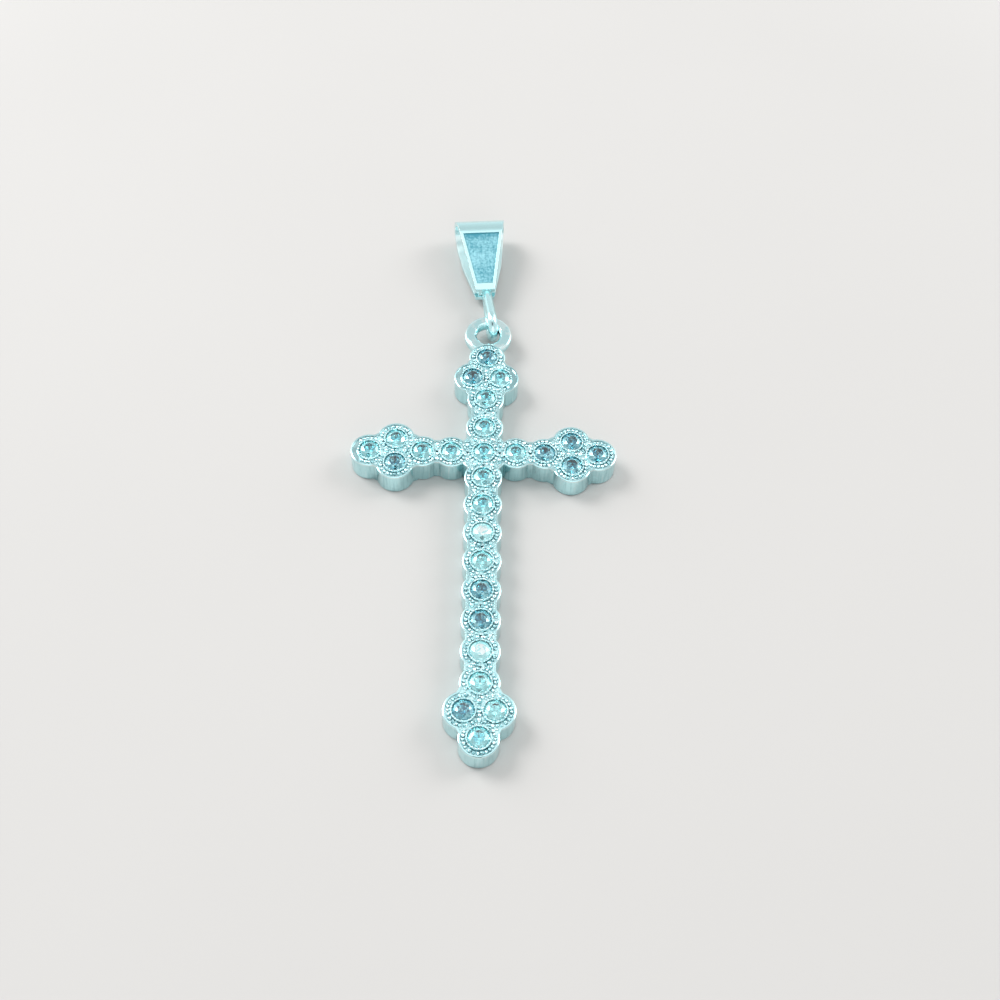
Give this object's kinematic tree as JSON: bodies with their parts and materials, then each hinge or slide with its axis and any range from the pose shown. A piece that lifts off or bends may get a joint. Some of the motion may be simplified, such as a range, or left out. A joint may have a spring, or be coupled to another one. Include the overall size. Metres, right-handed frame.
{
  "type": "cross pendant",
  "caption": "Trefoil cross pendant in polished white metal, set with round clear stones in raised collars, on a soldered link and a tapered folded bail.",
  "frame": {"origin": "under the middle of the whole pendant's length and width, on the plane of the cross's back", "axes": "+Z out of the cross's front, +Y along the shaft towards the bail, +X towards the right arm seen from the front"},
  "size_m": [0.026, 0.062, 0.0041],
  "materials": {
    "silver": "cast and hand-finished white metal, mirror polish on rims and walls, softer polish between the collars",
    "silver_satin": "bail strip in white metal, polished on rims and bend, worn satin in the front panel",
    "stone": "clear round brilliants, polished facets"
  },
  "bodies": {
    "root": {"cross": "silver", "bail": "silver_satin", "stone_crossing": "stone", "stone_upper_1": "stone", "stone_upper_2": "stone", "stone_upper_pair_a": "stone", "stone_upper_pair_b": "stone", "stone_upper_tip": "stone", "stone_lower_1": "stone", "stone_lower_2": "stone", "stone_lower_3": "stone", "stone_lower_4": "stone", "stone_lower_5": "stone", "stone_lower_6": "stone", "stone_lower_7": "stone", "stone_lower_8": "stone", "stone_lower_pair_a": "stone", "stone_lower_pair_b": "stone", "stone_lower_tip": "stone", "stone_left_1": "stone", "stone_left_2": "stone", "stone_left_pair_a": "stone", "stone_left_pair_b": "stone", "stone_left_tip": "stone", "stone_right_1": "stone", "stone_right_2": "stone", "stone_right_pair_a": "stone", "stone_right_pair_b": "stone", "stone_right_tip": "stone"}
  },
  "joints": []
}
